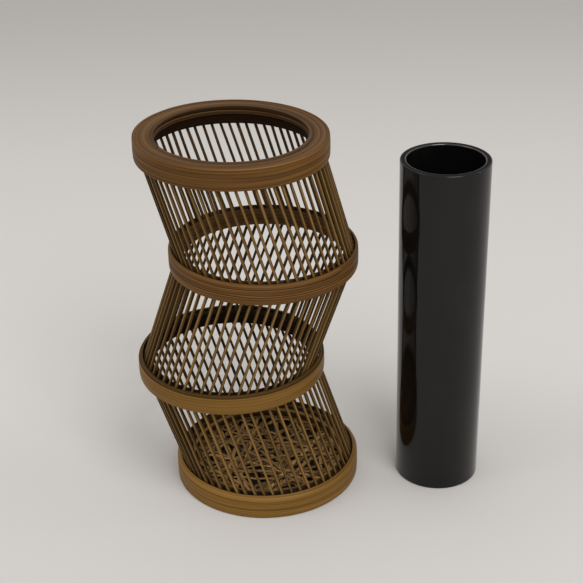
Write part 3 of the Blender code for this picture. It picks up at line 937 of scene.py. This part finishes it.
class BASKET_OT_woven_floor(bpy.types.Operator):
    """Weave the floor from strips that cross at random, and bend the hoops that hold it"""

    bl_idname = "basket.woven_floor"
    bl_label = "Woven floor"

    def execute(self, context):
        floor = context.scene.basket_floor
        mat = Ring("floor_mat")
        hoop = Ring("floor_edge_hoop")
        bm, grain, tone = new_strips()
        pattern = self.pattern_strip(bm, grain, tone, floor.thickness)
        chance = random.Random(5)
        # How far the outermost strips keep from the hoop, and how far a strip curves sideways
        margin, sideways = 0.002, 0.0016
        # Lengths of a strip's waves
        shortest, longest = 0.011, 0.019
        reach = hoop.inner + 0.5 * hoop.width
        low = mat.bottom + 2.5 * floor.thickness + floor.wave
        high = mat.top - 0.5 * floor.thickness - floor.wave
        self.lay_painted_shade_backing(bm, pattern, grain, tone, floor, reach, mat.bottom)
        for index in range(floor.strips):
            angle = 0.5 * FULL_TURN * (index * (math.sqrt(5.0) - 1.0) / 2.0 % 1.0)
            angle += chance.uniform(-0.12, 0.12)
            offset = (reach - margin) * (2.0 * (index * (math.sqrt(2.0) - 1.0) % 1.0) - 1.0)
            half = math.sqrt(reach * reach - offset * offset)
            width = chance.uniform(floor.narrowest, floor.widest)
            depth_share = chance.random()
            level = low + (high - low) * depth_share
            size = Matrix.Diagonal((2.0 * half, width, 1.0, 1.0))
            moved = Matrix.Translation((0.0, offset, level))
            placed = Matrix.Rotation(angle, 4, "Z") @ moved @ size
            shift = grain_shift(chance)
            # Lower strips are painted darker, as painted shade, and each strip's tone also differs
            # at random
            shade = (0.46 + 1.20 * depth_share) * chance.uniform(0.80, 1.25)
            verts = copied(bm, pattern, grain, tone, placed, shade, shift)
            length = chance.uniform(shortest, longest)
            start = chance.uniform(0.0, FULL_TURN)
            along, aside = directions(angle)
            bow = chance.uniform(-sideways, sideways)
            for vert in verts:
                travel = vert.co.dot(along)
                vert.co.z += floor.wave * math.sin(FULL_TURN * travel / length + start)
                vert.co += (bow * (1.0 - (travel / reach) ** 2)) * aside
        bmesh.ops.delete(bm, geom=pattern, context="VERTS")
        bmesh.ops.translate(bm, vec=mat.centre, verts=bm.verts)
        add_piece("woven_mat", bm, "mat", "basket", ["floor_mat"])
        self.bend_hoops(mat, hoop)
        self.lay_slats()
        return {"FINISHED"}

    @staticmethod
    def lay_painted_shade_backing(bm, pattern, grain, tone, floor, reach, bottom):
        """Lay two close layers of wide strips across each other under the woven ones, painted
        nearly black as painted shade.
        """
        pitch = 2.0 * reach / floor.backing
        for layer, angle in enumerate((0.4, 2.0)):
            level = bottom + (0.6 + layer) * floor.thickness
            for index in range(floor.backing):
                offset = (index + 0.5) * pitch - reach
                half = math.sqrt(reach * reach - offset * offset)
                size = Matrix.Diagonal((2.0 * half, 0.96 * pitch, 0.9, 1.0))
                moved = Matrix.Translation((0.0, offset, level))
                placed = Matrix.Rotation(angle, 4, "Z") @ moved @ size
                # Painted nearly black, as painted shade under the woven floor
                copied(bm, pattern, grain, tone, placed, 0.05, (float(index), float(layer)))

    @staticmethod
    def pattern_strip(bm, grain, tone, thickness):
        """Make the strip that the others are copied from, one metre long and one wide."""
        # Each eased edge as a share of the width, and the height where it ends, of the thickness
        eased_share, ending_share = 0.16, 0.12
        verts = bmesh.ops.create_cube(bm, size=1.0)["verts"]
        bmesh.ops.scale(bm, vec=(1.0, 1.0, thickness), verts=verts)
        upper = [edge for edge in long_edges(bm, 0) if edge.verts[0].co.z > 0.0]
        for vert in bevelled(bm, upper, eased_share, 1):
            if vert.co.z < 0.5 * thickness - TINY:
                vert.co.z = ending_share * thickness
        bmesh.ops.subdivide_edges(bm, edges=long_edges(bm, 0), cuts=30)
        bmesh.ops.recalc_face_normals(bm, faces=bm.faces)
        # The flat middle of a strip's top keeps a light tone; its eased edges and sides are painted
        # dark, as painted shadow of the strips on one another
        for face in bm.faces:
            aside = abs(face.calc_center_median().y)
            if aside < 0.3 and face.normal.z > 0.9:
                face[tone] = 1.1
            else:
                face[tone] = 0.12 if aside < 0.45 else 0.05
        # The grain is laid as if on a strip of this length and width
        usual_length, usual_width = 0.09, 0.0022
        lay_grain(bm, grain, lambda place: (
            usual_length * place.x, usual_width * place.y + place.z,
        ))
        return bm.verts[:] + bm.edges[:] + bm.faces[:]

    @staticmethod
    def bend_hoops(mat, hoop):
        """Bend the hoop on the mat, the edge that the strips end in and the hoop below."""
        # Rounding of the hoops, height of the mat's edge over the mat's foot, seam over it
        rounding, kept_up, seam = 0.0005, 0.0004, 0.0001
        # The edge hoop's inside is painted dark, as painted shade, and its rounded edges lighter,
        # as painted highlight
        bent_strip(
            "floor_edge", hoop, (rounding, rounding), rounding,
            Bend(4.4, "in", 1.00, 14.0, inside=0.2, edge_painted_highlight=1.6),
            "mat", ["floor_edge_hoop"],
        )
        edge = hoop.resized(bottom=mat.bottom + kept_up, top=hoop.bottom - seam)
        bent_strip(
            "mat_edge", edge, (rounding, rounding), rounding, Bend(0.2, "in", 0.55, 15.0),
            "mat",
        )
        # The hoop below has the dark finish of stain and painted shade
        bent_strip(
            "floor_support", Ring("floor_support_hoop"), (rounding, rounding), rounding,
            Bend(2.2, "in", 0.9, 16.0), "shaded", ["floor_support_hoop"],
        )

    @staticmethod
    def lay_slats():
        """Lay the slats that stiffen the floor from below."""
        rounding = 0.0005
        for number in (1, 2, 3):
            node = f"floor_slat_{number}"
            low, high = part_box(node)
            size = high - low
            bm, grain, tone = new_strips()
            verts = bmesh.ops.create_cube(bm, size=1.0)["verts"]
            placed = Matrix.Translation(0.5 * (low + high)) @ Matrix.Diagonal((*size, 1.0))
            bmesh.ops.transform(bm, matrix=placed, verts=verts)
            bevelled(bm, bm.edges[:], rounding, 3)
            for face in bm.faces:
                face[tone] = 0.6 + 0.1 * number
            start = float(number)
            lay_grain(bm, grain, lambda place: (place.x + start, place.y + place.z))
            add_piece(f"stiffening_slat_{number}", bm, "mat", "basket", [node])


class BASKET_OT_water_tube(bpy.types.Operator):
    """Make the black water tube, with its bore and its eased edges"""

    # How near an end of the tube the vertices of its solid are that show its measures
    near = 0.002

    bl_idname = "basket.water_tube"
    bl_label = "Water tube"

    def execute(self, context):
        tube = context.scene.basket_tube
        ring = Ring("liner_tube")
        verts = [vert.co - ring.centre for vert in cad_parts["liner_tube"].data.vertices]
        foot = max(co.xy.length for co in verts if co.z < ring.bottom + self.near)
        mouth = max(co.xy.length for co in verts if co.z > ring.top - self.near)
        flat = min(co.xy.length for co in verts if co.z > ring.top - 0.05 * self.near)
        floor = min(co.z for co in verts if co.z > ring.bottom + 1.5 * self.near)
        wall = mouth - flat + tube.easing
        bm = bmesh.new()
        bmesh.ops.create_circle(bm, cap_ends=True, segments=tube.steps, radius=foot)
        cap = bm.faces[:]
        top = self.raised(bm, cap, ring.height, mouth / foot, True)
        bmesh.ops.inset_region(bm, faces=top, thickness=wall, use_even_offset=True)
        bore = mouth - wall
        self.raised(bm, top, floor - ring.top, (foot - wall) / bore, False)
        square = math.radians(50.0)
        sharp = [
            edge for edge in bm.edges
            if len(edge.link_faces) == 2 and edge.calc_face_angle() > square
            and abs(edge.verts[0].co.z - floor) > 0.5 * self.near
        ]
        bevelled(bm, sharp, tube.easing, 5)
        high = ring.height - tube.easing
        # The flat of the mouth is matt, and its eased inner edge is bright
        for face in bm.faces:
            middle = face.calc_center_median()
            if middle.z > high and face.normal.z > 0.99:
                face.material_index = 1
            elif middle.z > high and middle.xy.length < mouth - 0.5 * wall:
                face.material_index = 2
        bmesh.ops.translate(bm, vec=ring.centre, verts=bm.verts)
        piece = add_piece("water_tube", bm, "lacquer", "liner", ["liner_tube"])
        piece.data.materials.append(finish_of("lacquer", "matt"))
        piece.data.materials.append(finish_of("lacquer", "bright"))
        return {"FINISHED"}

    @staticmethod
    def raised(bm, faces, rise, growth, keep):
        """Extrude faces up or down and widen them, and return the moved faces."""
        made = bmesh.ops.extrude_face_region(bm, geom=faces, use_keep_orig=keep)["geom"]
        verts = [item for item in made if isinstance(item, bmesh.types.BMVert)]
        bmesh.ops.translate(bm, vec=(0.0, 0.0, rise), verts=verts)
        bmesh.ops.scale(bm, vec=(growth, growth, 1.0), verts=verts)
        if not keep:
            bmesh.ops.delete(bm, geom=faces, context="FACES_ONLY")
        return [item for item in made if isinstance(item, bmesh.types.BMFace)]


class BASKET_OT_studio(bpy.types.Operator):
    """Lay the pale floor, hang the lamps and place the camera of the photograph"""

    bl_idname = "basket.studio"
    bl_label = "Studio"

    def execute(self, context):
        scene = context.scene
        self.lay_floor(scene)
        self.light(scene)
        self.place_camera(scene)
        scene.view_settings.view_transform = "Standard"
        return {"FINISHED"}

    @staticmethod
    def lay_floor(scene):
        """Lay a wide floor just under what stands on it."""
        bm = bmesh.new()
        reach, gap = 12.0, 0.0001
        below = Matrix.Translation((0.0, 0.0, -gap))
        bmesh.ops.create_grid(bm, x_segments=8, y_segments=8, size=reach, matrix=below)
        mesh = bpy.data.meshes.new("studio_floor")
        bm.to_mesh(mesh)
        bm.free()
        mesh.materials.append(finish_of("ground"))
        floor = bpy.data.objects.new("studio_floor", mesh)
        scene.collection.objects.link(floor)

    @staticmethod
    def light(scene):
        """Light the room evenly, with two soft lamps and a small one on the right."""
        ground = tuple(scene.basket_colours.ground)
        world = Finish(bpy.data.worlds.new("studio_world"))
        path = world.node("ShaderNodeLightPath")
        room, horizon, mirrored = (
            world.node("ShaderNodeBackground", None, {"Color": (*tint, 1.0), "Strength": strength})
            for tint, strength in (((1.0, 0.985, 0.960), 0.62), (ground, 0.58), (ground, 1.0))
        )
        seen = world.node("ShaderNodeMixShader", None, {
            0: path.outputs["Is Camera Ray"], 1: room.outputs[0], 2: horizon.outputs[0],
        })
        mix = world.node("ShaderNodeMixShader", None, {
            0: path.outputs["Is Glossy Ray"], 1: seen.outputs[0], 2: mirrored.outputs[0],
        })
        world.node("ShaderNodeOutputWorld", None, {"Surface": mix.outputs[0]})
        scene.world = world.holder
        # Place, width and power of each lamp
        lamps = {
            "main_lamp": ((0.45, -0.95, 1.45), 0.90, 13.5),
            "left_lamp": ((-1.30, -0.30, 1.40), 1.00, 4.5),
            "small_lamp": ((1.70, 0.05, 1.30), 0.05, 0.8),
        }
        target = Vector((0.0, 0.0, 0.10))
        for name, (place, width, power) in lamps.items():
            lamp = bpy.data.lights.new(name, "AREA")
            lamp.shape = "DISK"
            lamp.size = width
            lamp.energy = power
            light = bpy.data.objects.new(name, lamp)
            light.location = place
            light.rotation_euler = (target - Vector(place)).to_track_quat("-Z", "Y").to_euler()
            scene.collection.objects.link(light)

    @staticmethod
    def place_camera(scene):
        """Place the camera where the photograph was taken from."""
        lens = bpy.data.cameras.new("photo_camera")
        lens.sensor_width = 36.0
        lens.lens = 86.38
        lens.clip_start = 0.05
        lens.clip_end = 60.0
        camera = bpy.data.objects.new("photo_camera", lens)
        pitch = math.radians(27.592)
        forward = Vector((0.0, math.cos(pitch), -math.sin(pitch)))
        upward = Vector((0.0, math.sin(pitch), math.cos(pitch)))
        aim = Matrix((Vector((1.0, 0.0, 0.0)), upward, -forward)).transposed().to_4x4()
        roll = Matrix.Rotation(math.radians(-1.302), 4, "Z")
        stand = Matrix.Translation((-0.01218, -0.85173, 0.58800))
        camera.matrix_world = stand @ aim @ roll
        scene.collection.objects.link(camera)
        scene.camera = camera


class BASKET_PT_looks(bpy.types.Panel):
    """List the operators and the settings that they use"""

    bl_idname = "BASKET_PT_looks"
    bl_label = "Bamboo basket"
    bl_space_type = "VIEW_3D"
    bl_region_type = "UI"
    bl_category = "Basket"

    def draw(self, context):
        layout = self.layout
        for operator in OPERATORS:
            layout.operator(operator.bl_idname)
        for name in SETTINGS:
            group = getattr(context.scene, name)
            box = layout.box()
            for key in group.bl_rna.properties.keys():
                if key not in {"rna_type", "name"}:
                    box.prop(group, key)


OPERATORS = (
    BASKET_OT_outer_bands,
    BASKET_OT_inner_bands,
    BASKET_OT_rim_top,
    BASKET_OT_rods,
    BASKET_OT_woven_floor,
    BASKET_OT_water_tube,
    BASKET_OT_studio,
)
SETTINGS = {
    "basket_bands": BandSettings,
    "basket_rim": RimSettings,
    "basket_rods": RodSettings,
    "basket_floor": FloorSettings,
    "basket_tube": TubeSettings,
    "basket_colours": ColourSettings,
}


def register():
    """Register the settings, the operators and the panel."""
    for name, group in SETTINGS.items():
        bpy.utils.register_class(group)
        setattr(bpy.types.Scene, name, PointerProperty(type=group))
    for operator in OPERATORS:
        bpy.utils.register_class(operator)
    bpy.utils.register_class(BASKET_PT_looks)


def unregister():
    """Take back what register has added."""
    bpy.utils.unregister_class(BASKET_PT_looks)
    for operator in reversed(OPERATORS):
        bpy.utils.unregister_class(operator)
    for name, group in reversed(SETTINGS.items()):
        delattr(bpy.types.Scene, name)
        bpy.utils.unregister_class(group)


def main():
    """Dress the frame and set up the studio."""
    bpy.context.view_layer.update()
    register()
    bpy.ops.basket.outer_bands()
    bpy.ops.basket.inner_bands()
    bpy.ops.basket.rim_top()
    bpy.ops.basket.rods()
    bpy.ops.basket.woven_floor()
    bpy.ops.basket.water_tube()
    bpy.ops.basket.studio()


if __name__ == "__main__":
    main()
